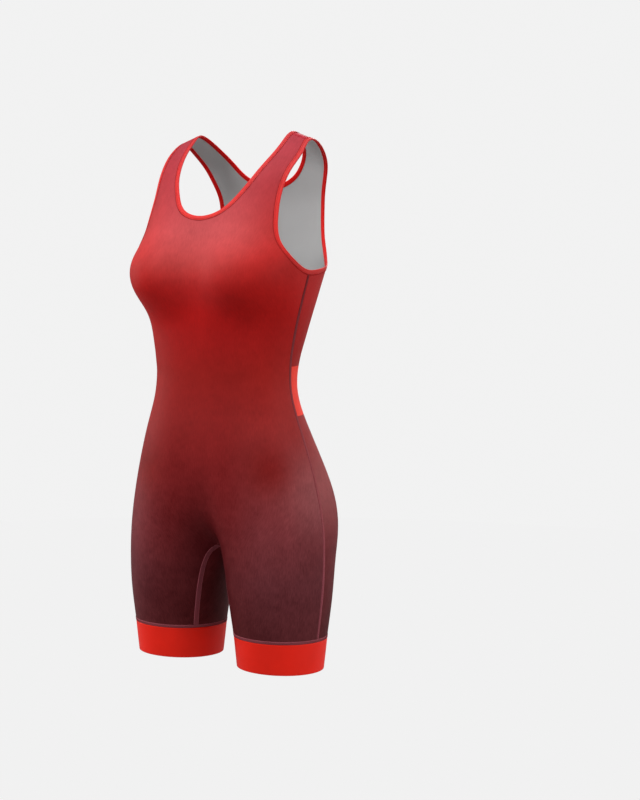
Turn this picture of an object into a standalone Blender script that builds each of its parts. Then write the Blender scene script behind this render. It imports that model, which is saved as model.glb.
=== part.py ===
"""Wrestling singlet: a sleeveless one-piece garment with a racer back and short legs.

The cloth keeps the filled-out form that it has when it is worn, and it is empty inside.
Units are metres, +Z is up, the front faces -Y and the wearer's left side is +X.
The origin lies between the tops of the two shoulder straps, where the wearer holds the garment up.
Tables are in millimetres, because pattern cutters work in them.
"""
import bpy
import numpy as np

MM = 0.001

# ---- driving dimensions -------------------------------------------------------------------------
CLOTH = 1.5 * MM             # wall of the knit panels
SEAM_GAP = 0.3 * MM          # between two pieces that are sewn together
BINDING_WIDTH = 8.5 * MM     # folded tape round the neck and the armholes
BINDING_PROUD = 0.4 * MM     # how far the tape stands out of the cloth, on either face
BAND_WALL = 1.8 * MM         # gripper band
BAND_HEIGHT = 48 * MM
BAND_TOP = -760.6 * MM       # straight below the shoulders
BAND_TILT = 0.08             # the bands drop towards the back by this much for each metre
BAND_SIDES = 42
BAND_ROWS = 4
CREASE = 0.45                # softness of the fold between the legs, as a share of their distance
PANEL_COLUMNS = 12           # over half a panel

# The general figure that the singlet is cut for, as level sections from above the shoulder down to
# the hem: half width, front and back of the section, centre of one leg's section, and how square
# its front and back halves are (2 is an ellipse).
FIGURE_COLUMNS = ("z", "half", "front", "back", "leg", "front_square", "back_square")
FIGURE = (
    (40, 166, 5, 17, 0, 2.1, 2.2),
    (0, 165, -15, 41, 0, 2.1, 2.3),
    (-30, 162, -50, 60, 0, 2.1, 2.5),
    (-60, 159, -83, 72, 0, 2.1, 2.7),
    (-97, 154, -109, 83, 0, 2.1, 2.8),
    (-130, 150, -125, 86, 0, 2.1, 2.8),
    (-165, 147, -132, 83, 0, 2.2, 2.6),
    (-205, 142, -135, 72, 0, 2.9, 2.35),
    (-270, 130, -135, 47, 0, 2.35, 2.3),
    (-330, 117, -131, 27, 0, 2.3, 2.3),
    (-385, 114, -130, 18, 4, 2.3, 2.3),
    (-440, 129, -135, 30, 14, 2.3, 2.3),
    (-500, 147, -137, 53, 36, 2.3, 2.3),
    (-560, 160, -135, 68, 62, 2.3, 2.3),
    (-605, 164, -135, 65, 80, 2.2, 2.2),
    (-640, 165, -135, 56, 86, 2.1, 2.1),
    (-700, 164, -130, 44, 90, 2.05, 2.05),
    (-757, 158, -122, 35, 91, 2.05, 2.05),
    (-830, 153, -112, 22, 91, 2.05, 2.05),
)

# The cups: a soft forward swell on each side, which the cloth bridges between them. A power over 2
# makes a swell rounder than a bell curve.
BUST = {"x": 90 * MM, "z": -215 * MM, "out": 45 * MM, "wide": 60 * MM, "above": 50 * MM, "below": 40 * MM,
        "power": 2.6}

# The shoulder: an arch from front to back that falls off towards the arm.
SHOULDER = {"x": 85 * MM, "top": -1.5 * MM, "fall": 0.37, "round": 30 * MM, "blend": 20 * MM}

# Sewing lines on the left half, as points close to the figure, with columns x, y and z. Each line is
# pressed onto the figure.
SHOULDER_IN = (90, -13, -5)
SHOULDER_OUT = (110, -13, -12)
ARMPIT = (141, -54, -214)
NECK_FRONT = (0, -127, -136)
NECK_BACK = (0, 81, -86)
CROTCH = (0, -78, -630)
FRONT_NECKLINE = (SHOULDER_IN, (88, -42, -26), (83, -62, -46), (77, -76, -63), (70, -89, -80),
                  (60, -105, -98), (45, -118, -118), (30, -124, -129), (15, -127, -134), NECK_FRONT)
BACK_NECKLINE = (SHOULDER_IN, (91, 7, -2), (87, 30, -12), (79, 50, -29), (67, 64, -48),
                 (50, 73, -67), (27, 78, -80), NECK_BACK)
FRONT_ARMHOLE = (SHOULDER_OUT, (113, -38, -27), (109, -61, -54), (105, -82, -88), (110, -102, -124),
                 (119, -111, -155), (129, -104, -183), (136, -83, -203), ARMPIT)
BACK_ARMHOLE = (SHOULDER_OUT, (111, 9, -10), (110, 32, -24), (105, 51, -43), (97, 65, -67),
                (90, 75, -92), (88, 79, -114), (89, 79, -138), (95, 73, -164), (107, 58, -186),
                (121, 33, -203), (135, 0, -210), ARMPIT)
SIDE_SEAM = (ARMPIT, (135, -59, -242), (126, -62, -282), (118, -62, -320), (114, -59, -360),
             (116, -57, -400), (129, -55, -440), (146, -51, -490), (157, -48, -540), (164, -45, -600),
             (165, -47, -650), (163, -51, -705), (157, -52, -765))
CENTRE_FRONT = (NECK_FRONT, (0, -139, -200), (0, -135, -270), (0, -131, -330), (0, -130, -385),
                (0, -134, -440), (0, -134, -500), (0, -124, -560), (0, -101, -610), CROTCH)
CENTRE_BACK = (NECK_BACK, (0, 86, -130), (0, 73, -200), (0, 47, -270), (0, 27, -330),
               (0, 18, -385), (0, 29, -440), (0, 47, -500), (0, 50, -560), (0, 25, -615),
               (0, -5, -633), (0, -40, -639), CROTCH)
INSEAM = (CROTCH, (7, -82, -633), (13, -86, -641), (20, -90, -662), (27, -91, -700), (34, -88, -765))

# Half a panel is woven from rows that run from its inner to its outer edge. A zone joins one stretch
# of the inner edge to one of the outer edge, and its rows swell off the straight line between them.
ZONES = {"strap": {"rows": 16, "swell": 8 * MM},
         "chest": {"rows": 12, "swell": 35 * MM},
         "body": {"rows": 23, "swell": 60 * MM},
         "leg": {"rows": 9, "swell": 95 * MM}}
CROTCH_LEAN = {"front": 0.0, "back": -0.6}             # how far the swell climbs there, in radians
CHEST_TOP = {"front": -130 * MM, "back": -122 * MM}    # on the armhole, level with the neckline's foot
CHEST_FOOT = {"front": -290 * MM, "back": -310 * MM}   # on the centre line, joined to the armpit
SIDE_SPLIT = -600 * MM                                 # on the side seam, where the legs part

# Section of the folded tape: place across it (0 at the seam, 1 at the fold), and half its thickness
# as a share of the full one.
TAPE_SECTION = ((0.0, 0.34), (0.1, 0.5), (0.82, 0.5), (1.0, 0.2))

FINISHES = {   # colour and roughness
    "knit": ((0.30, 0.025, 0.028, 1.0), 0.6),
    "tape": ((0.68, 0.030, 0.028, 1.0), 0.55),
    "gripper": ((0.62, 0.035, 0.022, 1.0), 0.55),
}


def spline(keys, values):
    """Natural cubic through values at rising keys, as a function that also takes arrays."""
    keys = np.asarray(keys, float)
    values = np.asarray(values, float)
    count = len(keys)
    gap = np.diff(keys)
    rise = np.diff(values, axis=0) / gap.reshape((-1,) + (1,) * (values.ndim - 1))
    matrix = np.eye(count)
    right = np.zeros(values.shape)
    for i in range(1, count - 1):
        matrix[i, i - 1:i + 2] = gap[i - 1], 2 * (gap[i - 1] + gap[i]), gap[i]
        right[i] = 6 * (rise[i] - rise[i - 1])
    bend = np.linalg.solve(matrix, right)

    def value(at):
        at = np.clip(np.asarray(at, float), keys[0], keys[-1])
        i = np.clip(np.searchsorted(keys, at) - 1, 0, count - 2)
        shape = at.shape + (1,) * (values.ndim - 1)
        span = gap[i].reshape(shape)
        left = (keys[i + 1] - at).reshape(shape)
        over = (at - keys[i]).reshape(shape)
        return ((bend[i] * left ** 3 + bend[i + 1] * over ** 3) / (6 * span)
                + (values[i] / span - bend[i] * span / 6) * left
                + (values[i + 1] / span - bend[i + 1] * span / 6) * over)

    return value


def figure_splines():
    """One function of height for each column of FIGURE."""
    table = np.array(FIGURE[::-1], float)
    scale = {name: MM for name in FIGURE_COLUMNS}
    scale["front_square"] = scale["back_square"] = 1.0
    return {name: spline(table[:, 0] * MM, table[:, i] * scale[name])
            for i, name in enumerate(FIGURE_COLUMNS) if i}


SECTION = figure_splines()


def soft_min(a, b, width):
    """The smaller of two distances, with the corner between them rounded over width."""
    overlap = np.maximum(width - np.abs(a - b), 0) / width
    return np.minimum(a, b) - overlap ** 3 * width / 6


def cups(x, z):
    up = (z - BUST["z"]) / np.where(z > BUST["z"], BUST["above"], BUST["below"])
    return sum(BUST["out"] * np.exp(-0.5 * np.hypot((x - place) / BUST["wide"], up) ** BUST["power"])
               for place in (BUST["x"], -BUST["x"]))


def half_figure(x, y, z, side):
    """Signed distance, roughly, to the tube of one leg and its half of the body."""
    leg = SECTION["leg"](z)
    half = SECTION["half"](z) - leg
    front = SECTION["front"](z)
    back = SECTION["back"](z)
    middle = (front + back) / 2
    square = np.where(y < middle, SECTION["front_square"](z), SECTION["back_square"](z))
    depth = (back - front) / 2 + np.where(y < middle, cups(x, z), 0)
    ring = (np.abs((x * side - leg) / half) ** square + np.abs((y - middle) / depth) ** square)
    return (ring ** (1 / square) - 1) * np.minimum(half, depth)


def figure(points):
    """Signed distance, roughly, to the figure: negative inside."""
    x, y, z = np.moveaxis(points, -1, 0)
    crease = CREASE * SECTION["leg"](z) + 0.1 * MM
    body = soft_min(half_figure(x, y, z, 1), half_figure(x, y, z, -1), crease)
    arch = np.hypot(y, SHOULDER["round"]) - SHOULDER["round"]
    lid = z - SHOULDER["top"] + SHOULDER["fall"] * (np.abs(x) - SHOULDER["x"]) + arch
    return -soft_min(-body, -lid, SHOULDER["blend"])


def gradient(points, step=0.01 * MM):
    shifts = np.eye(3) * step
    return np.stack([(figure(points + s) - figure(points - s)) / (2 * step) for s in shifts], -1)


def outward(points):
    """Unit normals of the figure."""
    slope = gradient(points)
    return slope / np.linalg.norm(slope, axis=-1, keepdims=True)


def press(points, across=None):
    """Move points onto the figure, by the shortest way or within the planes across is square to."""
    points = np.array(points, float)
    for _ in range(14):
        slope = gradient(points)
        if across is not None:
            slope -= (slope * across).sum(-1, keepdims=True) * across
        move = -figure(points)[..., None] * slope / (slope ** 2).sum(-1, keepdims=True)
        length = np.linalg.norm(move, axis=-1, keepdims=True)
        points += move * np.minimum(1, 15 * MM / np.maximum(length, 1e-12))
    return points


def lengths(line):
    """Distance along a polyline, or along each row of a grid, at every point."""
    step = np.linalg.norm(np.diff(line, axis=-2), axis=-1)
    return np.concatenate([np.zeros(step.shape[:-1] + (1,)), np.cumsum(step, -1)], -1)


def read_at(line, keys, want):
    """Points of a polyline at the wanted values of its keys."""
    return np.stack([np.interp(want, keys, line[:, k]) for k in range(3)], -1)


def even(line, count=160):
    """The same polyline with points at even steps."""
    at = lengths(line)
    return read_at(line, at, np.linspace(0, at[-1], count))


def stations(line, rows, start=0.0, end=0.0):
    """The ends of rows at even steps on an evenly spaced line, which is cut short by start and end.

    Lines moved from one seam have their stations opposite each other.
    """
    last = len(line) - 1
    step = lengths(line)[-1] / last
    return read_at(line, np.arange(last + 1), np.linspace(start / step, last - end / step, rows + 1))


def sewing_line(table):
    """A smooth line through the points of a table, pressed onto the figure."""
    keys = np.array(table, float) * MM
    at = lengths(keys)
    return press(even(press(spline(at, keys)(np.linspace(0, at[-1], 400)))))


def opening_lines(front, back, closed):
    """The edge of an opening as two lines that run down from the shoulder, in front and behind.

    The two are smooth where they meet: at the shoulder, and at their feet if the edge is closed.
    Otherwise it crosses the centre line squarely.
    """
    keys = np.array(front[::-1] + back[1:], float) * MM
    flip = np.array([-1.0, 1.0, 1.0])
    before, after = (keys[-4:-1], keys[1:4]) if closed else (keys[3:0:-1] * flip, keys[-2:-5:-1] * flip)
    whole = np.concatenate([before, keys, after])
    at = lengths(whole)
    path = spline(at, whole)
    foot, shoulder, end = len(before), len(before) + len(front) - 1, len(before) + len(keys) - 1
    lines = [path(np.linspace(at[shoulder], at[stop], 400)) for stop in (foot, end)]
    return [press(even(press(line))) for line in lines]


def moved(line, distance):
    """The line moved over the figure by distance, to its left as seen from outside."""
    across = np.cross(outward(line), np.gradient(line, axis=0))
    across /= np.linalg.norm(across, axis=-1, keepdims=True)
    return press(line + distance * across)


def split_at(line, level):
    """Cut a falling line in two where it passes a level."""
    i = int(np.searchsorted(-line[:, 2], -level))
    return line[:i + 1], line[i:]


def woven_rows(inner, outer, swell, columns):
    """Rows from inner to outer points, each a flat slice of the figure with even steps."""
    t = np.linspace(0, 1, columns + 1)[None, :, None]
    inner, outer, swell = inner[:, None], outer[:, None], swell[:, None]
    flat = np.cross(outer - inner, swell)
    flat /= np.linalg.norm(flat, axis=-1, keepdims=True)
    rows = press(inner * (1 - t) + outer * t + swell * 4 * t * (1 - t), flat)
    for _ in range(3):
        rows = np.stack([even(row, columns + 1) for row in rows])
        rows[:, 1:-1] = press(rows[:, 1:-1], flat)
    return rows


def half_panel(lines, facing):
    """Half a panel as rows by columns, from the shoulder to the leg band. facing is -1 in front.

    Sewn edges are moved in by half a seam gap, and shortened by the same at a corner. Rows swell
    upwards at the shoulder and, lower down, square to their own direction and tilted like the bands.
    """
    gap = SEAM_GAP / 2
    inward, outer_side = -facing * gap, facing * gap
    stretches = {   # inner and outer line, and the lengths cut off at their ends
        "strap": (moved(lines["neck"], inward), moved(lines["armhole"][0], outer_side), 0, 0),
        "chest": (lines["centre"][0], moved(lines["armhole"][1], outer_side), 0, gap),
        "body": (lines["centre"][1], moved(lines["side"][0], outer_side), gap, 0),
        "leg": (moved(lines["inseam"], inward), moved(lines["side"][1], outer_side), gap, gap)}
    inner, outer, size, lean = [], [], [], []
    swell_before, lean_before = ZONES["strap"]["swell"], np.pi / 2
    for zone, (inside, outside, inside_cut, outside_cut) in stretches.items():
        rows, swell_after = ZONES[zone]["rows"], ZONES[zone]["swell"]
        lean_after = lines["lean"] if zone == "body" else 0
        start = 0 if inner else gap
        skip = 1 if inner else 0
        inner.append(stations(inside, rows, start, inside_cut)[skip:])
        outer.append(stations(outside, rows, start, outside_cut)[skip:])
        size.append(np.linspace(swell_before, swell_after, rows + 1)[skip:])
        share = np.linspace(0, 1, rows + 1)[skip:] ** (2 if zone == "body" else 1)
        lean.append(lean_before + (lean_after - lean_before) * share)
        swell_before, lean_before = swell_after, lean_after
    inner = press(np.concatenate(inner))
    outer = press(np.concatenate(outer))
    level = np.cross([0.0, 0.0, facing], outer - inner)
    level /= np.linalg.norm(level, axis=-1, keepdims=True)
    level[:, 2] = -BAND_TILT * level[:, 1]
    lean = np.concatenate(lean)[:, None]
    swell = np.concatenate(size)[:, None] * (np.cos(lean) * level + np.sin(lean) * [0.0, 0.0, 1.0])
    return woven_rows(inner, outer, swell, PANEL_COLUMNS)


def quads(rows, columns, closed_rows=False, closed_columns=False):
    """Corner indices of the cells of a grid, anticlockwise where rows go right and columns go up."""
    i, j = np.meshgrid(np.arange(rows - (not closed_rows)), np.arange(columns - (not closed_columns)),
                       indexing="ij")
    i, j = i.ravel(), j.ravel()
    up, right = (i + 1) % rows, (j + 1) % columns
    return np.stack([i * columns + j, i * columns + right, up * columns + right, up * columns + j], -1)


def shell(outer, inner, flip, open_rows=()):
    """A wall between two grids, with a rim all round but for the stretch of column 0 in open_rows."""
    rows, columns = outer.shape[:2]
    size = rows * columns
    face = quads(rows, columns)
    index = np.arange(size).reshape(rows, columns)
    open_rows = set(open_rows)
    first = [(index[i, 0], index[i + 1, 0]) for i in range(rows - 1) if i not in open_rows][::-1]
    loop = [(a, b) for a, b in zip(index[0], index[0, 1:])]
    loop += [(a, b) for a, b in zip(index[:, -1], index[1:, -1])]
    loop += [(b, a) for a, b in zip(index[-1], index[-1, 1:])]
    loop += [(b, a) for a, b in first]
    rim = np.array([(b, a, a + size, b + size) for a, b in loop])
    faces = np.concatenate([face, face[:, ::-1] + size, rim])
    if flip:
        faces = faces[:, ::-1]
    return np.concatenate([outer.reshape(-1, 3), inner.reshape(-1, 3)]), faces


def add_piece(name, points, faces, material, mirror=False):
    mesh = bpy.data.meshes.new(name)
    mesh.from_pydata(points.tolist(), [], faces.tolist())
    mesh.materials.append(material)
    mesh.shade_smooth()
    mesh.set_sharp_from_angle(angle=np.radians(40))
    piece = bpy.data.objects.new(name, mesh)
    collection.objects.link(piece)
    if mirror:
        halves = piece.modifiers.new("halves", "MIRROR")
        halves.merge_threshold = 0.01 * MM
    return piece


def add_panel(name, grid, facing):
    """A cut and sewn half panel and its mirror image, joined along the centre line."""
    first = ZONES["strap"]["rows"]
    last = first + ZONES["chest"]["rows"] + ZONES["body"]["rows"]
    inside = grid - CLOTH * outward(grid)
    grid[first:last + 1, 0, 0] = 0
    inside[first:last + 1, 0, 0] = 0
    points, faces = shell(grid, inside, flip=facing < 0, open_rows=range(first, last))
    return add_piece(name, points, faces, MATERIALS["knit"], mirror=True)


def tape_edge(front, back, distance):
    """One edge of a tape, up the front and down the back, opposite the stations of the panels.

    front and back list the lines of the strap and the chest, of which a neckline has only the first.
    """
    halves = []
    for lines, out in ((front, -distance), (back, distance)):
        parts = [stations(moved(line, out), ZONES[zone]["rows"]) for zone, line in zip(ZONES, lines)]
        halves.append(np.concatenate([parts[0]] + [part[1:] for part in parts[1:]]))
    return press(np.concatenate([halves[0][::-1], halves[1][1:]]))


def tape_grid(front, back, side):
    """Folded tape beside a seam: frames by the points of its section."""
    near = tape_edge(front, back, side * SEAM_GAP / 2)
    fold = tape_edge(front, back, side * (SEAM_GAP / 2 + BINDING_WIDTH))
    full = CLOTH + 2 * BINDING_PROUD
    over = [(u, -CLOTH / 2 + v * full) for u, v in TAPE_SECTION]
    under = [(u, -CLOTH / 2 - v * full) for u, v in TAPE_SECTION[::-1]]
    near_up, fold_up = outward(near), outward(fold)
    return np.stack([near + u * (fold - near) + v * (near_up + u * (fold_up - near_up))
                     for u, v in over + under], 1)


def add_neck_binding():
    grid = tape_grid([FRONT["neck"]], [BACK["neck"]], 1)
    grid[[0, -1], :, 0] = 0
    faces = quads(len(grid), grid.shape[1], closed_columns=True)[:, ::-1]
    return add_piece("neck_binding", grid.reshape(-1, 3), faces, MATERIALS["tape"], mirror=True)


def add_armhole_binding(name, hand):
    """hand is 1 on the wearer's left and -1 on the right."""
    grid = tape_grid(FRONT["armhole"], BACK["armhole"], -1)[:-1] * np.array([hand, 1.0, 1.0])
    faces = quads(len(grid), grid.shape[1], closed_rows=True, closed_columns=True)
    if hand < 0:
        faces = faces[:, ::-1]
    return add_piece(name, grid.reshape(-1, 3), faces, MATERIALS["tape"])


def add_leg_band(name, hand):
    """A tube between two tilted levels of the leg."""
    drop = np.linspace(SEAM_GAP / 2, BAND_HEIGHT, BAND_ROWS + 1)[:, None]
    turn = np.linspace(0, 2 * np.pi, BAND_SIDES, endpoint=False)[None, :]
    level = BAND_TOP - drop
    leg = SECTION["leg"](level)
    front, back = SECTION["front"](level), SECTION["back"](level)
    x = leg + (SECTION["half"](level) - leg) * np.cos(turn)
    y = (front + back) / 2 + (back - front) / 2 * np.sin(turn)
    ring = np.stack([x, y, level - BAND_TILT * y], -1)
    flat = np.array([0, BAND_TILT, 1]) / np.hypot(1, BAND_TILT)
    ring = press(ring, flat)
    normals = outward(ring)
    proud = (BAND_WALL - CLOTH) / 2
    walls = np.concatenate([ring + proud * normals, (ring - (BAND_WALL - proud) * normals)[::-1]])
    walls *= np.array([hand, 1.0, 1.0])
    faces = quads(len(walls), BAND_SIDES, closed_rows=True, closed_columns=True)
    if hand > 0:
        faces = faces[:, ::-1]
    return add_piece(name, walls.reshape(-1, 3), faces, MATERIALS["gripper"])


def add_material(name, colour, roughness):
    material = bpy.data.materials.new(name)
    material.use_nodes = True
    shader = material.node_tree.nodes["Principled BSDF"]
    shader.inputs["Base Color"].default_value = colour
    shader.inputs["Roughness"].default_value = roughness
    return material


def band_level(line):
    """Shorten a leg's seam line to the top of the leg band."""
    above = line[:, 2] + BAND_TILT * line[:, 1] - BAND_TOP
    last = int(np.flatnonzero(above > 0)[-1])
    share = above[last] / (above[last] - above[last + 1])
    end = line[last] + share * (line[last + 1] - line[last])
    return even(np.concatenate([line[:last + 1], end[None]]))


for old in list(bpy.data.objects):
    bpy.data.objects.remove(old)
collection = bpy.data.collections.new("wrestling_singlet")
bpy.context.scene.collection.children.link(collection)
MATERIALS = {name: add_material(name, colour, roughness) for name, (colour, roughness) in FINISHES.items()}

neck_front, neck_back = opening_lines(FRONT_NECKLINE, BACK_NECKLINE, closed=False)
arm_front, arm_back = opening_lines(FRONT_ARMHOLE, BACK_ARMHOLE, closed=True)
shared = {"side": split_at(band_level(sewing_line(SIDE_SEAM)), SIDE_SPLIT),
          "inseam": band_level(sewing_line(INSEAM))}
FRONT = {"neck": neck_front,
         "armhole": split_at(arm_front, CHEST_TOP["front"]),
         "centre": split_at(sewing_line(CENTRE_FRONT), CHEST_FOOT["front"]),
         "lean": CROTCH_LEAN["front"], **shared}
BACK = {"neck": neck_back,
        "armhole": split_at(arm_back, CHEST_TOP["back"]),
        "centre": split_at(sewing_line(CENTRE_BACK), CHEST_FOOT["back"]),
        "lean": CROTCH_LEAN["back"], **shared}

add_panel("front_panel", half_panel(FRONT, -1), -1)
add_panel("back_panel", half_panel(BACK, 1), 1)
add_neck_binding()
for side, hand in (("left", 1), ("right", -1)):
    add_armhole_binding("armhole_binding_" + side, hand)
    add_leg_band("leg_band_" + side, hand)
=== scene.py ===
from math import pi, radians

import bpy
import numpy as np
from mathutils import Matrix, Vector


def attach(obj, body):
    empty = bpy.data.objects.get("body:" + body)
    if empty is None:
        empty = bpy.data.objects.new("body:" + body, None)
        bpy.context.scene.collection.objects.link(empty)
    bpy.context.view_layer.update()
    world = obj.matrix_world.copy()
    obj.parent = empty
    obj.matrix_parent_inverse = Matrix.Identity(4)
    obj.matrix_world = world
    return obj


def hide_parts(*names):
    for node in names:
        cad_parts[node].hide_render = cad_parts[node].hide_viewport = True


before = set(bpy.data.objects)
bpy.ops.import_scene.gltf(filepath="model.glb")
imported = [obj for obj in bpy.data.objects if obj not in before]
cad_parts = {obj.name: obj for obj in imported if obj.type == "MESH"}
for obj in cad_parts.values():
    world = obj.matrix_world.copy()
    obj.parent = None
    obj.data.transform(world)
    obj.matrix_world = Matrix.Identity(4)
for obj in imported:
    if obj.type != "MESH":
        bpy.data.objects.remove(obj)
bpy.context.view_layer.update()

mm = 0.001
leftAndRight = (("left", 1.0), ("right", -1.0))
flip = np.array([-1.0, 1.0, 1.0])   # takes a point to the other side of the garment


# even turns round a circle
def roundTurns(count):
    return np.linspace(0, 2 * pi, count, endpoint=False)


# the figure that the cloth is cut for

figureCut = {
    # level sections in mm, from above the shoulder to below the hem: height, half width, front, back,
    # centre of one leg, squareness of the front half and of the back half
    "sections": ((40, 166, 5, 17, 0, 2.1, 2.2), (0, 165, -15, 41, 0, 2.1, 2.3),
        (-30, 162, -50, 60, 0, 2.1, 2.5), (-60, 159, -83, 72, 0, 2.1, 2.7),
        (-97, 154, -109, 83, 0, 2.1, 2.8), (-130, 150, -125, 86, 0, 2.1, 2.8),
        (-165, 147, -132, 83, 0, 2.2, 2.6), (-205, 142, -135, 72, 0, 2.9, 2.35),
        (-270, 130, -135, 47, 0, 2.35, 2.3), (-330, 117, -131, 27, 0, 2.3, 2.3),
        (-385, 114, -130, 18, 4, 2.3, 2.3), (-440, 129, -135, 30, 14, 2.3, 2.3),
        (-500, 147, -137, 53, 36, 2.3, 2.3), (-560, 160, -135, 68, 62, 2.3, 2.3),
        (-605, 164, -135, 65, 80, 2.2, 2.2), (-640, 165, -135, 56, 86, 2.1, 2.1),
        (-700, 164, -130, 44, 90, 2.05, 2.05), (-757, 158, -122, 35, 91, 2.05, 2.05),
        (-830, 153, -112, 22, 91, 2.05, 2.05)),
    "bustPlace": (90 * mm, -215 * mm),   # across and up
    "bustOut": 45 * mm, "bustWide": 60 * mm, "bustAbove": 50 * mm, "bustBelow": 40 * mm, "bustRound": 2.6,
    "shoulderPlace": 85 * mm, "shoulderTop": -1.5 * mm, "shoulderFall": 0.37, "shoulderRound": 30 * mm,
    "shoulderBlend": 20 * mm, "legFold": 0.45, "leastFold": 0.1 * mm}

# soft creases of the stretched knit in mm: start, end, half width, rise (a trough is negative)
clothCreases = (
    ((16, -84, -618), (74, -128, -556), 13, -0.9), ((-14, -84, -618), (-66, -130, -560), 12, -0.8),
    ((30, -98, -612), (112, -112, -572), 11, -0.6), ((-32, -98, -612), (-104, -116, -578), 12, -0.7),
    ((128, -96, -206), (96, -140, -232), 10, -0.5), ((-128, -96, -206), (-100, -140, -228), 11, -0.6),
    ((104, -96, -352), (52, -128, -372), 12, -0.5), ((-106, -92, -358), (-60, -126, -366), 10, -0.6),
    ((112, -70, -388), (66, -124, -402), 9, 0.4), ((-110, -72, -384), (-40, -130, -396), 12, 0.4),
    ((8, 20, -372), (88, 8, -366), 9, -0.8), ((-8, 20, -376), (-84, 10, -382), 10, -0.7),
    ((20, 18, -398), (98, 12, -410), 10, -0.7), ((-12, 20, -402), (-92, 12, -396), 9, -0.8),
    ((22, 12, -628), (118, 46, -642), 13, -0.8), ((-24, 12, -630), (-112, 48, -638), 12, -0.9),
    ((96, 66, -196), (44, 66, -240), 12, -0.5), ((-98, 66, -200), (-50, 62, -238), 11, -0.5))
creaseEnds = 0.35   # what is left of a crease's rise at its two ends


# natural cubic through values at rising keys: inside each span the bends of its two ends are blended
# by the cubes of the distances to them, and a straight line makes the ends fit
def naturalCubic(keys, values):
    keys, values = np.asarray(keys, float), np.asarray(values, float)
    last = len(keys) - 1
    gap = np.diff(keys)
    rise = np.diff(values, axis=0) / gap.reshape((-1,) + (1,) * (values.ndim - 1))
    inner = np.arange(1, last)
    matrix, right = np.eye(last + 1), np.zeros(values.shape)
    matrix[inner, inner - 1], matrix[inner, inner + 1] = gap[:-1], gap[1:]
    matrix[inner, inner] = 2 * (gap[:-1] + gap[1:])
    right[inner] = 6 * np.diff(rise, axis=0)
    bend = np.linalg.solve(matrix, right)

    def value(at):
        at = np.clip(np.asarray(at, float), keys[0], keys[-1])
        i = np.clip(np.searchsorted(keys, at) - 1, 0, last - 1)
        shape = at.shape + (1,) * (values.ndim - 1)
        span, before, after = (a.reshape(shape) for a in (gap[i], at - keys[i], keys[i + 1] - at))
        return ((bend[i] * after ** 3 + bend[i + 1] * before ** 3) / (6 * span)
                + (values[i] / span - bend[i] * span / 6) * after
                + (values[i + 1] / span - bend[i + 1] * span / 6) * before)

    return value


sectionTable = np.array(figureCut["sections"][::-1], float) * ([mm] * 5 + [1, 1])
sectionAt = naturalCubic(sectionTable[:, 0], sectionTable[:, 1:])


# the smaller of two distances, with the corner between them rounded by a cube over the width
def softMin(a, b, width):
    overlap = np.maximum(width - np.abs(a - b), 0) / width
    return np.minimum(a, b) - overlap ** 3 * width / 6


# how far the two cups stand out: each is a bell with a blunt top, and their sum bridges the cloth
def cups(x, z):
    across, up = figureCut["bustPlace"]
    rise = (z - up) / np.where(z > up, figureCut["bustAbove"], figureCut["bustBelow"])
    away = [np.hypot((x - place) / figureCut["bustWide"], rise) for place in (across, -across)]
    return figureCut["bustOut"] * sum(np.exp(-0.5 * a ** figureCut["bustRound"]) for a in away)


# signed distance, roughly, to the tube of one leg and its half of the body: a superellipse on every
# level, deeper in front by the cups
def halfFigure(x, y, z, side):
    half, front, back, leg, frontSquare, backSquare = np.moveaxis(sectionAt(z), -1, 0)
    half, middle = half - leg, (front + back) / 2
    square = np.where(y < middle, frontSquare, backSquare)
    depth = (back - front) / 2 + np.where(y < middle, cups(x, z), 0)
    ring = np.abs((x * side - leg) / half) ** square + np.abs((y - middle) / depth) ** square
    return (ring ** (1 / square) - 1) * np.minimum(half, depth)


# how far the creases lift the cloth: each is a bell across its line that fades towards both ends
def creaseLift(points):
    lift = np.zeros(points.shape[:-1])
    for start, end, width, rise in clothCreases:
        start, along = np.array(start) * mm, (np.array(end) - start) * mm
        share = np.clip(((points - start) @ along) / (along @ along), 0, 1)
        away = np.linalg.norm(points - start - share[..., None] * along, axis=-1)
        fade = creaseEnds + (1 - creaseEnds) * np.sin(pi * share)
        lift += rise * mm * np.exp(-(away / (width * mm)) ** 2) * fade
    return lift


# signed distance, roughly, to the outside of the cloth: both halves blended in the fold between the
# legs, cut off by the arch of the shoulders, and lifted by the creases
def clothField(points):
    x, y, z = np.moveaxis(points, -1, 0)
    fold = figureCut["legFold"] * sectionAt(z)[..., 3] + figureCut["leastFold"]
    body = softMin(halfFigure(x, y, z, 1), halfFigure(x, y, z, -1), fold)
    arch = np.hypot(y, figureCut["shoulderRound"]) - figureCut["shoulderRound"]
    fall = figureCut["shoulderFall"] * (np.abs(x) - figureCut["shoulderPlace"])
    lid = z - figureCut["shoulderTop"] + fall + arch
    return -softMin(-body, -lid, figureCut["shoulderBlend"]) - creaseLift(points)


# how points are pressed onto the cloth: steps at most, how near is near enough, the longest step, and
# the shift that the slope is read over
pressing = {"rounds": 12, "near": 0.0005 * mm, "longest": 15 * mm, "shift": 0.01 * mm}


# slope of the distance, from its change over a small shift either way
def slopeOf(points):
    shift = pressing["shift"]
    rises = [clothField(points + s) - clothField(points - s) for s in np.eye(3) * shift]
    return np.stack(rises, -1) / (2 * shift)


def unit(vectors):
    return vectors / np.linalg.norm(vectors, axis=-1, keepdims=True)


def outward(points):
    return unit(slopeOf(points))


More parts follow.
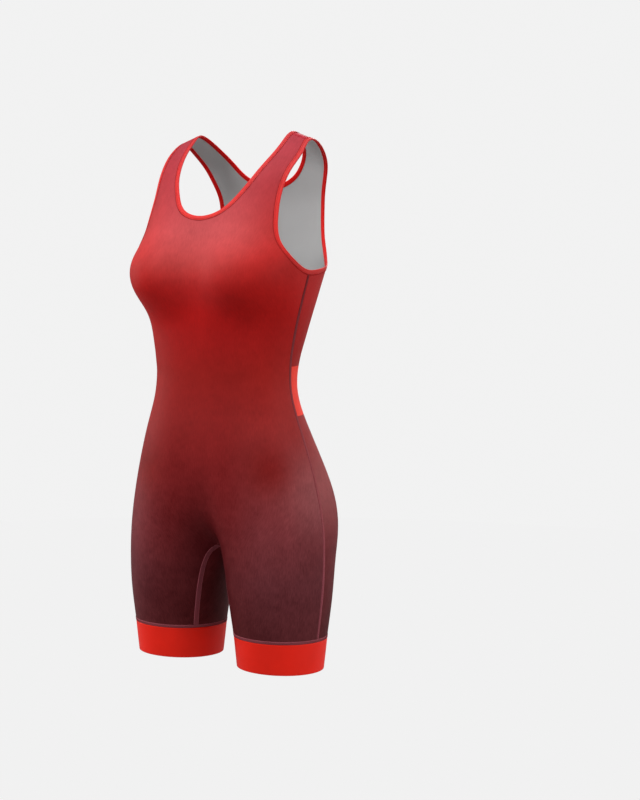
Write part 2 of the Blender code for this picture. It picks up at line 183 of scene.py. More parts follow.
# points moved onto the cloth by Newton steps along its slope, or within the planes square to a direction
def onCloth(points, squareTo=None):
    points = np.array(points, float)
    for _ in range(pressing["rounds"]):
        away = clothField(points)[..., None]
        if np.abs(away).max() < pressing["near"]:
            break
        slope = slopeOf(points)
        if squareTo is not None:
            slope -= (slope * squareTo).sum(-1, keepdims=True) * squareTo
        move = -away * slope / (slope ** 2).sum(-1, keepdims=True)
        length = np.linalg.norm(move, axis=-1, keepdims=True)
        points += move * np.minimum(1, pressing["longest"] / np.maximum(length, 1e-12))
    return points


# sewing lines: points in mm close to the figure, on the wearer's left half; each is pressed onto the cloth
strapInner, strapOuter, armpit = (90, -13, -5), (110, -13, -12), (141, -54, -214)
neckFront, neckBack, crotch = (0, -127, -136), (0, 81, -86), (0, -78, -630)
sewingLines = {
    "frontNeck": (strapInner, (88, -42, -26), (83, -62, -46), (77, -76, -63), (70, -89, -80),
        (60, -105, -98), (45, -118, -118), (30, -124, -129), (15, -127, -134), neckFront),
    "backNeck": (strapInner, (91, 7, -2), (87, 30, -12), (79, 50, -29), (67, 64, -48), (50, 73, -67),
        (27, 78, -80), neckBack),
    "frontArm": (strapOuter, (113, -38, -27), (109, -61, -54), (105, -82, -88), (110, -102, -124),
        (119, -111, -155), (129, -104, -183), (136, -83, -203), armpit),
    "backArm": (strapOuter, (111, 9, -10), (110, 32, -24), (105, 51, -43), (97, 65, -67), (90, 75, -92),
        (88, 79, -114), (89, 79, -138), (95, 73, -164), (107, 58, -186), (121, 33, -203), (135, 0, -210),
        armpit),
    "side": (armpit, (135, -59, -242), (126, -62, -282), (118, -62, -320), (114, -59, -360),
        (116, -57, -400), (129, -55, -440), (146, -51, -490), (157, -48, -540), (164, -45, -600),
        (165, -47, -650), (163, -51, -705), (157, -52, -765)),
    "centreFront": (neckFront, (0, -139, -200), (0, -135, -270), (0, -131, -330), (0, -130, -385),
        (0, -134, -440), (0, -134, -500), (0, -124, -560), (0, -101, -610), crotch),
    "centreBack": (neckBack, (0, 86, -130), (0, 73, -200), (0, 47, -270), (0, 27, -330), (0, 18, -385),
        (0, 29, -440), (0, 47, -500), (0, 50, -560), (0, 25, -615), (0, -5, -633), (0, -40, -639), crotch),
    "inseam": (crotch, (7, -82, -633), (13, -86, -641), (20, -90, -662), (27, -91, -700), (34, -88, -765))}

linePoints = 500   # on every sewing line


# distance along a line from its start to each of its points
def lengthsAlong(line):
    step = np.linalg.norm(np.diff(line, axis=-2), axis=-1)
    return np.concatenate([np.zeros(step.shape[:-1] + (1,)), np.cumsum(step, -1)], -1)


# places on a line at the wanted keys, straight between its points
def readAt(line, keys, want):
    return np.stack([np.interp(want, keys, line[:, k]) for k in range(3)], -1)


def evenly(line, count=linePoints):
    at = lengthsAlong(line)
    return readAt(line, at, np.linspace(0, at[-1], count))


# a sewing line as a cubic curve over the cloth, at even steps
def smoothLine(name):
    keys = np.array(sewingLines[name], float) * mm
    at = lengthsAlong(keys)
    return onCloth(evenly(onCloth(naturalCubic(at, keys)(np.linspace(0, at[-1], linePoints)))))


# the edge of an opening as two lines that run down from the shoulder, smooth where they meet; an edge
# that isn't closed crosses the centre line squarely, so its mirror image goes on past its ends
def openingLines(frontName, backName, closed):
    front, back = sewingLines[frontName], sewingLines[backName]
    keys = np.array(front[::-1] + back[1:], float) * mm
    before, after = (keys[-4:-1], keys[1:4]) if closed else (keys[3:0:-1] * flip, keys[-2:-5:-1] * flip)
    whole = np.concatenate([before, keys, after])
    at = lengthsAlong(whole)
    path = naturalCubic(at, whole)
    shoulder = at[len(before) + len(front) - 1]
    feet = at[len(before)], at[len(before) + len(keys) - 1]
    return [onCloth(evenly(onCloth(path(np.linspace(shoulder, foot, linePoints))))) for foot in feet]


def splitAt(line, level):
    i = int(np.searchsorted(-line[:, 2], -level))
    return line[:i + 1], line[i:]


# directions over the cloth to the left of a line, as seen from outside
def leftOf(line, closed=False):
    along = np.roll(line, -1, 0) - np.roll(line, 1, 0) if closed else np.gradient(line, axis=0)
    return unit(np.cross(outward(line), along))


def movedOver(line, distance):
    return onCloth(line + distance * leftOf(line))


# the band's top and hem lie lower towards the back by the tilt
bandCut = {"top": -760.6 * mm, "height": 48 * mm, "tilt": 0.08, "thick": 1.8 * mm, "proud": 0.15 * mm,
           "bulge": 0.25 * mm, "hemPoints": 5, "rows": 22, "around": 200, "stretch": 1.15}


# a leg's line shortened to the tilted level of the band's top
def toBand(line):
    above = line[:, 2] + bandCut["tilt"] * line[:, 1] - bandCut["top"]
    last = int(np.flatnonzero(above > 0)[-1])
    share = above[last] / (above[last] - above[last + 1])
    end = line[last] + share * (line[last + 1] - line[last])
    return evenly(np.concatenate([line[:last + 1], end[None]]))


panelCut = {"gap": 0.3 * mm, "underTape": 3 * mm, "thick": 1.5 * mm, "columns": 36, "evened": 3,
            "legsPart": -600 * mm,   # the level on the side line where the rows of the legs begin
            # rows in each stretch of a panel, and how far they swell off the straight line
            "rows": {"strap": 42, "chest": 36, "body": 69, "leg": 27},
            "swell": {"strap": 8 * mm, "chest": 35 * mm, "body": 60 * mm, "leg": 95 * mm},
            # the levels where the chest's rows begin on the armhole and end on the centre line
            "chestTop": {"front": -130 * mm, "back": -122 * mm},
            "chestFoot": {"front": -290 * mm, "back": -310 * mm},
            "crotchLean": {"front": 0.0, "back": -0.6},   # how the swell leans there, down below zero
            "stretchAcross": 1.14, "stretchDown": 1.04}

print("scene: sewing lines")
neckLines = openingLines("frontNeck", "backNeck", closed=False)
armLines = openingLines("frontArm", "backArm", closed=True)
sideLine = toBand(smoothLine("side"))
inseamLine = toBand(smoothLine("inseam"))
centreLines = smoothLine("centreFront"), smoothLine("centreBack")
faceLines = {}
for i, face in enumerate(("front", "back")):
    faceLines[face] = {"neck": neckLines[i], "arm": splitAt(armLines[i], panelCut["chestTop"][face]),
                       "centre": splitAt(centreLines[i], panelCut["chestFoot"][face]),
                       "side": splitAt(sideLine, panelCut["legsPart"]), "inseam": inseamLine}


# meshes

# corner numbers of a grid's cells, anticlockwise where rows go right and columns go up
def gridCells(rows, columns, closedRows=False, closedColumns=False):
    i, j = np.meshgrid(np.arange(rows - (not closedRows)), np.arange(columns - (not closedColumns)),
                       indexing="ij")
    i, j = i.ravel(), j.ravel()
    up, right = (i + 1) % rows, (j + 1) % columns
    return np.stack([i * columns + j, i * columns + right, up * columns + right, up * columns + j], -1)


def addObject(name, data):
    made = bpy.data.objects.new(name, data)
    bpy.context.scene.collection.objects.link(made)
    return made


# a piece from numpy arrays: points, four-cornered cells, a cloth coordinate at every point, the looks and
# which of them each cell has, and a shading normal at every corner of a cell
def addPiece(name, points, cells, cloth, looks, lookOf=None, normals=None, replaces=()):
    mesh = bpy.data.meshes.new(name)
    mesh.vertices.add(points.size // 3)
    mesh.vertices.foreach_set("co", points.astype(np.float32).ravel())
    mesh.loops.add(cells.size)
    mesh.loops.foreach_set("vertex_index", cells.astype(np.int32).ravel())
    mesh.polygons.add(len(cells))
    mesh.polygons.foreach_set("loop_start", np.arange(0, cells.size, 4, dtype=np.int32))
    mesh.polygons.foreach_set("use_smooth", np.ones(len(cells), bool))
    if lookOf is not None:
        mesh.polygons.foreach_set("material_index", lookOf.astype(np.int32))
    mesh.update(calc_edges=True)
    mesh.validate()
    layer = mesh.uv_layers.new(name="cloth")
    layer.uv.foreach_set("vector", cloth[cells.ravel()].astype(np.float32).ravel())
    if normals is not None:
        mesh.normals_split_custom_set(normals)
    for look in looks:
        mesh.materials.append(look)
    piece = addObject(name, mesh)
    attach(piece, "root")
    if replaces:
        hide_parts(*replaces)
    return piece


# two cloth coordinates, one from each row and one from each column of a grid, as a list of points
def gridCloth(along, across):
    return np.stack(np.broadcast_arrays(along, across), -1).reshape(-1, 2)


# numbers of the points that a four-cornered cell joins, from a grid of point numbers
def cellsOf(index):
    return np.stack([index[:-1, :-1], index[:-1, 1:], index[1:, 1:], index[1:, :-1]], -1).reshape(-1, 4)


# finishes

# a method of Amount that adds one Math node; turned, the other number comes first
def operator(operation, turned=False):
    return lambda amount, *others: amount.maths(operation, *others, turned=turned)


# one number in a shader: Python's operators on it add the Math nodes
class Amount:
    def __init__(self, finish, socket):
        self.finish, self.socket = finish, socket

    def maths(self, operation, *others, turned=False):
        terms = (*others, self) if turned else (self, *others)
        node = self.finish.node("Math", {"operation": operation}, dict(enumerate(terms)))
        return Amount(self.finish, node.outputs[0])

    __add__ = __radd__ = operator("ADD")
    __mul__ = __rmul__ = operator("MULTIPLY")
    __sub__, __rsub__ = operator("SUBTRACT"), operator("SUBTRACT", turned=True)
    __truediv__, __rtruediv__ = operator("DIVIDE"), operator("DIVIDE", turned=True)
    __gt__, __lt__, __abs__ = operator("GREATER_THAN"), operator("LESS_THAN"), operator("ABSOLUTE")

    def clamped(self):
        return self.maths("MAXIMUM", 0.0).maths("MINIMUM", 1.0)

    # a smooth step from 0 to 1: three squares less two cubes
    def smooth(self):
        return self * self * (3 - self * 2)


# a material whose nodes all come from one method
class Finish:
    def __init__(self, name, **constants):
        self.material = bpy.data.materials.new(name)
        self.material.use_nodes = True
        self.tree = self.material.node_tree
        self.shader = self.tree.nodes["Principled BSDF"]
        for socket, value in constants.items():
            self.shader.inputs[socket.replace("_", " ")].default_value = value

    # a node of one type: its settings first, a ramp's stops among them, then its sockets' values or links
    def node(self, kind, settings=None, sockets=None):
        made = self.tree.nodes.new("ShaderNode" + kind)
        for key, value in (settings or {}).items():
            if key == "stops":
                ramp = made.color_ramp.elements
                while len(ramp) < len(value):
                    ramp.new(1.0)
                for element, (place, colour) in zip(ramp, value):
                    element.position, element.color = place, colour
            else:
                setattr(made, key, value)
        for key, value in (sockets or {}).items():
            self.feed(made.inputs[key], value)
        return made

    def feed(self, socket, value):
        value = getattr(value, "socket", value)
        if isinstance(value, bpy.types.NodeSocket):
            self.tree.links.new(value, socket)
        else:
            socket.default_value = value

    def mix(self, share, first, second, blend="MIX"):
        settings = {"data_type": "RGBA", "blend_type": blend, "clamp_factor": True}
        return self.node("Mix", settings, {0: share, 6: first, 7: second}).outputs[2]

    def noise(self, where, scale, detail, roughness):
        sockets = {"Vector": where, "Scale": scale, "Detail": detail, "Roughness": roughness}
        return Amount(self, self.node("TexNoise", None, sockets).outputs["Fac"])

    def parts(self, vector):
        made = self.node("SeparateXYZ", None, {0: vector})
        return [Amount(self, socket) for socket in made.outputs]

    def colour(self, value):
        self.feed(self.shader.inputs["Base Color"], value)

    def bump(self, height, distance, strength):
        sockets = {"Height": height, "Distance": distance, "Strength": strength}
        self.feed(self.shader.inputs["Normal"], self.node("Bump", None, sockets).outputs[0])

    def places(self):
        made = self.node("TexCoord")
        return made.outputs["Object"], made.outputs["UV"]

    # a colour that fades with height, a dye and in places painted light and shade as well: each stop is a
    # height in mm and a colour, highest first; a single colour is returned as it is
    def faded(self, height, stops):
        if isinstance(stops, str):
            return dye(stops)
        low, high = stops[-1][0] * mm, stops[0][0] * mm
        places = [((z * mm - low) / (high - low), dye(code)) for z, code in stops[::-1]]
        share = (height - low) / (high - low)
        return self.node("ValToRGB", {"stops": places}, {0: share}).outputs[0]

    # two fading dyes, one down the middle and one towards the sides, each with painted light and shade in it
    # and the sides' one paler on the hips as painted sheen; each stop holds a colour of both
    def spread(self, where, stops):
        across, _, height = self.parts(where)
        middle, sides = (self.faded(height, [(stop[0], stop[k]) for stop in stops]) for k in (1, 2))
        share = (abs(across) - dyeSpread["from"]) / (dyeSpread["to"] - dyeSpread["from"])
        return self.mix(share.clamped().smooth(), middle, sides)

    # nearness to a place: 1 there, 0 from its reach on, and a smooth step between
    def near(self, where, place, reach):
        made = self.node("VectorMath", {"operation": "DISTANCE"}, {0: where, 1: place})
        return (1 - Amount(self, made.outputs["Value"]) / reach).clamped().smooth()

    # one colour made lighter and darker by a shade around 1
    def shaded(self, colour, shade):
        grey = self.node("CombineColor", None, {0: shade, 1: shade, 2: shade}).outputs[0]
        return self.mix(1.0, colour, grey, "MULTIPLY")

    # the whole finish from a dye that fades with height, its shade, and a relief
    def finished(self, where, stops, shade, relief, depth, bump):
        self.colour(self.shaded(self.faded(self.parts(where)[2], stops), shade))
        self.bump(relief, depth, bump)
        return self.material


# sRGB hex to the linear colour that a shader takes
def dye(code):
    value = np.array([int(code[i:i + 2], 16) for i in (0, 2, 4)]) / 255
    linear = np.where(value <= 0.04045, value / 12.92, ((value + 0.055) / 1.055) ** 2.4)
    return (*(float(v) for v in linear), 1.0)


knitLook = {"wale": 1.3 * mm, "course": 1.0 * mm, "chevron": 0.55, "waleHeight": 0.6, "courseHeight": 0.25,
            "stitchDepth": 0.09 * mm, "bump": 0.5,
            # the noises as repeats a metre, detail and roughness; the streaks' repeats across and down
            "cloudNoise": (13.0, 3.0, 0.55), "patchNoise": (60.0, 4.0, 0.62),
            "streakSize": (520.0, 110.0, 1.0), "streakNoise": (1.0, 2.0, 0.6),
            "cloud": 0.16, "patch": 0.14, "streak": 0.20,   # how much each changes the shade
            "wornTop": -430 * mm, "wornFoot": -600 * mm, "worn": 0.8,   # where the heather grows stronger
            # a pale mix on the legs: the knit's fibre ends and a painted sheen haze
            "fluffAndSheen": 0.08, "fluffFrom": 0.35, "fluffColour": "b88a8c",
            "roughness": 0.55, "specular": 0.05}

# the fading dye with painted light and shade in it: the ombré is the print's, while the pinkish top is a
# painted highlight from above and the brighter red below the bust painted light; height in mm, colour down
# the middle and colour towards the sides
dyeAndPaintedLight = {
    "front": ((0, "8c303a", "8a2c35"), (-80, "9a343a", "94292e"), (-150, "a83b3d", "a02a29"),
        (-200, "a52c2a", "a3201e"), (-235, "b91d1c", "a81816"), (-265, "b61817", "a71614"),
        (-300, "a51918", "a11917"), (-360, "911d1a", "99211d"), (-430, "851f1e", "8e2826"),
        (-500, "771a1b", "7e2b2c"), (-580, "66171a", "702c30"), (-660, "54161a", "5e272c"),
        (-745, "4d1518", "552024")),
    "back": ((0, "8c303a", "8a2c35"), (-80, "a6262b", "9e2127"), (-180, "b02022", "a61d1c"),
        (-250, "ac1c1b", "a21918"), (-340, "9a1d1b", "941b19"), (-430, "8c2726", "8e2c2c"),
        (-520, "7e2426", "802e2e"), (-600, "681b1f", "6c262a"), (-680, "581a1c", "5c2024"),
        (-745, "50171a", "541b1f"))}
# the sides' colour is paler on the hips: painted sheen
dyeSpread = {"from": 40 * mm, "to": 130 * mm}   # how far out the middle colour gives way to the sides' one
# painted sheen and shade on the knit: the pale patches are painted sheen on the near hip and the upper
# chest, the deep red ones painted shade at the front of both hips; place and reach in mm, share of the
# other colour there, and that colour
paintedSheenAndShade = (((155, -50, -528), 95, 0.13, "c89092"), ((14, -138, -165), 120, 0.06, "c89092"),
             ((112, -115, -494), 58, 0.9, "721614"), ((-96, -122, -500), 58, 0.9, "721614"))
# the lining's grey darkens further down: painted shade inside the garment
liningLook = {"colours": ((0, "b6b6b6"), (-110, "a8a8a8"), (-200, "8c8c8c"), (-800, "8c8c8c")),
              "cloudNoise": (14.0, 3.0, 0.55), "cloud": 0.12, "roughness": 0.7, "sheen": 0.05, "bump": 0.4}
waistPrint = {"top": -348 * mm, "foot": -421 * mm, "colour": "e43e32"}


# fine knit: loops lie in wales, each a chevron; the height falls off towards each wale's edges and
# waves along it, one wave a course
def knitHeight(finish, cloth):
    across, down, _ = finish.parts(cloth)
    fromMiddle = abs((across / knitLook["wale"]).maths("FRACT") - 0.5)
    wave = (down / knitLook["course"] + fromMiddle * (2 * knitLook["chevron"])) * (2 * pi)
    return (1 - fromMiddle * 2) * knitLook["waleHeight"] + wave.maths("SINE") * knitLook["courseHeight"]


# the panels' knit: the print and the heather of the knit, with painted light, shade and sheen from the dye's
# stops, its sides and its painted patches
def dyedKnitWithPaintedLight(name, face, printed=None):
    finish = Finish(name, Roughness=knitLook["roughness"], Specular_IOR_Level=knitLook["specular"])
    where, cloth = finish.places()
    height = finish.parts(where)[2]
    colour = finish.spread(where, dyeAndPaintedLight[face])
    # pale patches of painted sheen and deep red patches of painted shade
    for place, reach, share, code in paintedSheenAndShade:
        near = finish.near(where, [v * mm for v in place], reach * mm)
        colour = finish.mix(near * share, colour, dye(code))
    if printed:
        inside = (height < printed["top"]) * (height > printed["foot"])
        colour = finish.mix(inside, colour, dye(printed["colour"]))
    cloud = finish.noise(where, *knitLook["cloudNoise"])
    patch = finish.noise(where, *knitLook["patchNoise"])
    stretched = finish.node("Mapping", None, {"Vector": cloth, "Scale": knitLook["streakSize"]}).outputs[0]
    streak = finish.noise(stretched, *knitLook["streakNoise"])
    top, foot = knitLook["wornTop"], knitLook["wornFoot"]
    worn = ((height - top) / (foot - top)).clamped()
    fine = (patch - 0.5) * knitLook["patch"] + (streak - 0.5) * knitLook["streak"]
    shade = 1 + ((cloud - 0.5) * knitLook["cloud"] + fine) * (worn * knitLook["worn"] + 1) * 2
    colour = finish.shaded(colour, shade)
    # pale fibre ends and a painted sheen haze show on the legs, more in the patches than between them
    patchy = patch * 0.4 + streak * 0.3 + cloud * 0.3 - knitLook["fluffFrom"]
    fluffAndSheen = patchy * worn * knitLook["fluffAndSheen"]
    finish.colour(finish.mix(fluffAndSheen, colour, dye(knitLook["fluffColour"])))
    finish.bump(knitHeight(finish, cloth), knitLook["stitchDepth"], knitLook["bump"])
    return finish.material


# grey knit, darker further down as painted shade, with a soft cloud in it
def plainKnit(name, look):
    finish = Finish(name, Roughness=look["roughness"], Sheen_Weight=look["sheen"], Sheen_Roughness=0.5)
    where, cloth = finish.places()
    shade = finish.noise(where, *look["cloudNoise"]) * look["cloud"] + (1 - look["cloud"] / 2)
    relief = knitHeight(finish, cloth)
    return finish.finished(where, look["colours"], shade, relief, knitLook["stitchDepth"], look["bump"])


# the tape's inner faces get a red of their own, set to how they read in shade: a shaded copy of the tape,
# with painted shade
tapeLook = {"outside": ((0, "a82a2c"), (-60, "b82a2a"), (-130, "c82c29"), (-215, "ba1814")),
            "inside": "d80e0c", "rib": 0.9 * mm, "ribDepth": 0.07 * mm, "ribAxis": 0}
bandLook = {"colour": "ea2415", "rib": 1.1 * mm, "ribDepth": 0.06 * mm, "ribAxis": 1}
# the ribs' grooves are painted darker and their crests lighter: painted shade in the relief
elasticLook = {"cloudNoise": (30.0, 2.0, 0.5), "cloud": 0.16, "ribPaintedShade": 0.03, "darkest": 0.9, "bump": 0.6}
# the dark thread runs along a seam strip's edge, darkened to stand in also for the shadow of that edge:
# painted shadow
threadLook = {"dark": "5e1a1e", "tape": "9a1a1c", "twist": 0.8 * mm, "twistDepth": 0.05 * mm, "bump": 0.5,
              # the seam threads are dyed with the cloth, and darker at the armpit's level as painted shade:
              # height in mm and colour
              "seam": ((0, "b83440"), (-120, "a82c34"), (-215, "80262a"), (-300, "8c383c"),
                       (-390, "9c4044"), (-450, "a2484c"), (-530, "a25054"), (-610, "a4525a"),
                       (-690, "9e505a"), (-770, "984c54")),
              # how light each kind is, and the part of it that the twist takes away and gives: painted shade
              # in the twist's grooves
              "plain": 1.15, "cover": 0.9, "edge": 1.3, "inTwist": 0.75, "onTwist": 0.3}
# the strip's rows are painted lighter on their crests and darker between them: painted shade in the relief
stripLook = {"rowPitch": 1.2 * mm, "rowSlant": 4 * mm, "rowDepth": 0.12 * mm, "row": 0.18, "shade": 0.78,
             "bump": 0.7}


# woven elastic: fine ribs run across its length, painted lighter on their crests and darker in their
# grooves as painted shade, and the colour is a little uneven along it
def elastic(name, stops, look):
    finish = Finish(name, Roughness=0.5, Specular_IOR_Level=0.1, Sheen_Weight=0.02, Sheen_Roughness=0.4)
    where, cloth = finish.places()
    ribs = (finish.parts(cloth)[look["ribAxis"]] / look["rib"] * (2 * pi)).maths("SINE")
    cloud = finish.noise(where, *elasticLook["cloudNoise"])
    shade = cloud * elasticLook["cloud"] + ribs * elasticLook["ribPaintedShade"] + elasticLook["darkest"]
    return finish.finished(where, stops, shade, ribs, look["ribDepth"], elasticLook["bump"])


# sewing thread, in one colour or dyed with the cloth: fine twist lines slant round it, painted darker
# in their grooves as painted shade
def thread(name, stops, light):
    finish = Finish(name, Roughness=0.6, Specular_IOR_Level=0.08)
    where, cloth = finish.places()
    along, around, _ = finish.parts(cloth)
    twist = ((along / threadLook["twist"] + around) * (2 * pi)).maths("SINE")
    shade = (twist * 0.5 + 0.5) * (threadLook["onTwist"] * light) + threadLook["inTwist"] * light
    return finish.finished(where, stops, shade, twist, threadLook["twistDepth"], threadLook["bump"])


# the covering threads of a flat seam: slanting rows of thread, painted darker between the rows as
# painted shade
def coverThreads(name, stops):
    finish = Finish(name, Roughness=0.6, Specular_IOR_Level=0.08)
    where, cloth = finish.places()
    along, across, _ = finish.parts(cloth)
    rows = ((along / stripLook["rowPitch"] + abs(across / stripLook["rowSlant"])) * (2 * pi)).maths("SINE")
    shade = rows * stripLook["row"] + stripLook["shade"]
    return finish.finished(where, stops, shade, rows, stripLook["rowDepth"], stripLook["bump"])


print("scene: finishes")
finishes = {name: make(name, *given) for name, make, *given in (
    ("frontKnit", dyedKnitWithPaintedLight, "front"), ("backKnit", dyedKnitWithPaintedLight, "back", waistPrint),
    ("lining", plainKnit, liningLook), ("tape", elastic, tapeLook["outside"], tapeLook),
    ("tapeInside", elastic, tapeLook["inside"], tapeLook), ("band", elastic, bandLook["colour"], bandLook),
    ("strip", coverThreads, threadLook["seam"]),
    ("coverThread", thread, threadLook["seam"], threadLook["cover"]),
    ("edgeThread", thread, threadLook["seam"], threadLook["edge"]),
    ("darkThread", thread, threadLook["dark"], threadLook["plain"]),
    ("tapeThread", thread, threadLook["tape"], threadLook["plain"]))}

# the two panels


# the ends of rows at even steps on an even line, cut short at its ends
def stations(line, rows, start, end):
    last = len(line) - 1
    step = lengthsAlong(line)[-1] / last
    return readAt(line, np.arange(last + 1), np.linspace(start / step, last - end / step, rows + 1))


# half a panel on a grid: every row is a flat slice of the cloth between an inner and an outer edge,
# swollen off the straight line between them by a parabola, with even steps along it
def halfPanel(face):
    lines, facing, gap = faceLines[face], {"front": -1, "back": 1}[face], panelCut["gap"] / 2
    under = facing * panelCut["underTape"]   # the panel's edge lies between the two plies of the tape
    upperArm, lowerArm = (movedOver(line, -under) for line in lines["arm"])
    upperSide, lowerSide = (movedOver(line, facing * gap) for line in lines["side"])
    zones = {"strap": (movedOver(lines["neck"], under), upperArm, 0, 0),
             "chest": (lines["centre"][0], lowerArm, 0, gap),
             "body": (lines["centre"][1], upperSide, gap, 0),
             "leg": (movedOver(lines["inseam"], -facing * gap), lowerSide, gap, gap)}
    inner, outer, size, lean = [], [], [], []
    swellBefore, leanBefore = panelCut["swell"]["strap"], pi / 2
    for zone, (inside, outside, insideCut, outsideCut) in zones.items():
        rows, swellAfter = panelCut["rows"][zone], panelCut["swell"][zone]
        leanAfter = panelCut["crotchLean"][face] if zone == "body" else 0
        start, skip = (0, 1) if inner else (gap, 0)
        share = np.linspace(0, 1, rows + 1)[skip:]
        inner.append(stations(inside, rows, start, insideCut)[skip:])
        outer.append(stations(outside, rows, start, outsideCut)[skip:])
        size.append(swellBefore + (swellAfter - swellBefore) * share)
        lean.append(leanBefore + (leanAfter - leanBefore) * share ** (2 if zone == "body" else 1))
        swellBefore, leanBefore = swellAfter, leanAfter
    inner, outer = (onCloth(np.concatenate(edge))[:, None] for edge in (inner, outer))
    level = unit(np.cross([0.0, 0.0, facing], outer - inner))
    level[..., 2] = -bandCut["tilt"] * level[..., 1]
    lean, size = np.concatenate(lean)[:, None, None], np.concatenate(size)[:, None, None]
    swell = size * (np.cos(lean) * level + np.sin(lean) * [0.0, 0.0, 1.0])
    squareTo = unit(np.cross(outer - inner, swell))
    count = panelCut["columns"] + 1
    t = np.linspace(0, 1, count)[None, :, None]
    rows = onCloth(inner * (1 - t) + outer * t + swell * 4 * t * (1 - t), squareTo)
    for _ in range(panelCut["evened"]):
        rows = np.stack([evenly(row, count) for row in rows])
        rows[:, 1:-1] = onCloth(rows[:, 1:-1], squareTo)
    return rows


# both halves of a panel as a wall: the outer sheet, an inner one moved in along the normals, and a rim
# over every edge that only one cell has
def addPanel(face):
    half = halfPanel(face)
    rows, columns = half.shape[:2]
    first = panelCut["rows"]["strap"]
    last = first + panelCut["rows"]["chest"] + panelCut["rows"]["body"]
    half[first:last + 1, 0, 0] = 0
    points = np.concatenate([half.reshape(-1, 3), (half * flip).reshape(-1, 3)])
    left = np.arange(rows * columns).reshape(rows, columns)
    right = left + rows * columns
    right[first:last + 1, 0] = left[first:last + 1, 0]
    cells = np.concatenate([cellsOf(left), cellsOf(right)[:, ::-1]])
    if face == "front":
        cells = cells[:, ::-1]
    used, cells = np.unique(cells, return_inverse=True)
    cells = cells.reshape(-1, 4)
    points, count = onCloth(points[used]), len(used)
    normals = outward(points)
    # the cloth coordinate: across along the rows from the centre line, and down by height
    across = lengthsAlong(half)
    start = np.zeros(rows)
    start[:first] = half[:first, 0, 0]
    start[last:] = across[last, -1] - across[last:, -1]
    across += start[:, None]
    cloth = np.stack([np.concatenate([across.ravel(), -across.ravel()])[used], -points[:, 2]], -1)
    edges = np.stack([cells, np.roll(cells, -1, 1)], -1).reshape(-1, 2)
    single = ~np.isin(edges @ [count, 1], edges @ [1, count])
    a, b = edges[single].T
    rim = np.stack([b, a, a + count, b + count], -1)
    wall = np.concatenate([points, points - panelCut["thick"] * normals])
    faces = np.concatenate([cells, cells[:, ::-1] + count, rim])
    lookOf = np.repeat([0, 1, 2], [len(cells), len(cells), len(rim)])
    rimNormal = unit(np.cross(wall[rim[:, 1]] - wall[rim[:, 0]], wall[rim[:, 3]] - wall[rim[:, 0]]))
    shading = np.concatenate([normals[cells].reshape(-1, 3), -normals[cells[:, ::-1]].reshape(-1, 3),
                              np.repeat(rimNormal, 4, 0)])
    knit = finishes[face + "Knit"]
    piece = addPiece(face + "Panel", wall, faces, np.concatenate([cloth, cloth]),
                     (knit, finishes["lining"], knit), lookOf, shading, [face + "_panel"])
    area = np.linalg.norm(np.cross(points[cells[:, 2]] - points[cells[:, 0]],
                                   points[cells[:, 3]] - points[cells[:, 1]]), axis=-1).sum() / 2
    worn = 2 * lengthsAlong(half)[:, -1].max(), lengthsAlong(half[:, columns // 2])[-1]
    return piece, worn, area


print("scene: panels")
panels = {face: addPanel(face) for face in ("front", "back")}

# bindings

tapeCut = {"width": 8.5 * mm, "proud": 0.4 * mm, "ply": 0.38 * mm, "step": 2.6 * mm, "foldPoints": 9,
           # the ply from its lip to the fold, with how far the lip rolls in, and the inner ply's one bend
           "lip": 1.6 * mm, "run": (0, 0.12, 0.45, 1.2, 2.2, 3.4, 4.7), "roll": (0.26, 0.06, 0, 0, 0, 0, 0),
           "innerBend": 4.0 * mm,
           "pucker": 0.10 * mm, "puckerPitch": 5.2 * mm, "puckerDrift": (0.8, 7), "puckersFrom": 0.3 * mm,
           "insideFrom": 0.3 * mm, "stretch": 1.12}


def joined(line):
    return np.concatenate([line, line[:1]])


# a closed loop of points at even steps
def closedEvenly(line, step):
    around = joined(line)
    at = lengthsAlong(around)
    return readAt(around, at, np.linspace(0, at[-1], round(at[-1] / step), endpoint=False))


# the loops of the three bindings, each with its opening on the left as seen from outside
neckHalf = np.concatenate([neckLines[0][::-1], neckLines[1][1:]])
neckLoop = np.concatenate([neckHalf, (neckHalf * flip)[-2:0:-1]])
armLoop = np.concatenate([armLines[0], armLines[1][-2:0:-1]])
loops = {"neck": neckLoop, "left": armLoop, "right": (armLoop * flip)[::-1]}


# points beside a line on the cloth: moved over the cloth to the line's left, and then out of its face
def beside(line, across, height, closed=False):
    left = leftOf(line, closed)[:, None]
    base = onCloth(line[:, None] + left * across[..., None])
    return base + outward(base) * height[..., None]


# a band of section points swept along a line; the section runs to the left on top and back underneath,
# and the ends of an open line are closed by four-cornered caps
def sweptCells(rows, count, closed):
    cells = [gridCells(rows, count, closedRows=closed, closedColumns=True)[:, ::-1]]
    if not closed:
        top = np.arange(count // 2 - 1)
        cap = np.stack([top, top + 1, count - 2 - top, count - 1 - top], -1)
        cells += [cap, cap[:, ::-1] + (rows - 1) * count]
    return np.concatenate(cells)


# the tape's section: two plies round the panel's edge, joined by a half round fold, as one closed loop
def tapeSection():
    outside = panelCut["thick"] / 2 + tapeCut["proud"]
    inside = outside - tapeCut["ply"]
    foldAt = tapeCut["width"] + panelCut["gap"] / 2 - outside
    turn = np.linspace(pi / 2, -pi / 2, tapeCut["foldPoints"])
    fold = np.stack([np.cos(turn), np.sin(turn)], -1)
    run = tapeCut["lip"] + np.array(tapeCut["run"]) * mm
    rise = outside - np.array(tapeCut["roll"]) * mm
    outer = [np.stack([run, rise], -1), [foldAt, 0] + outside * fold, np.stack([run, -rise], -1)[::-1]]
    bends = np.array([[tapeCut["lip"], -inside], [tapeCut["innerBend"], -inside]])
    inner = [bends, [foldAt, 0] + inside * fold[::-1], bends[::-1] * [1, -1]]
    return np.concatenate(outer + inner) - [0, panelCut["thick"] / 2]


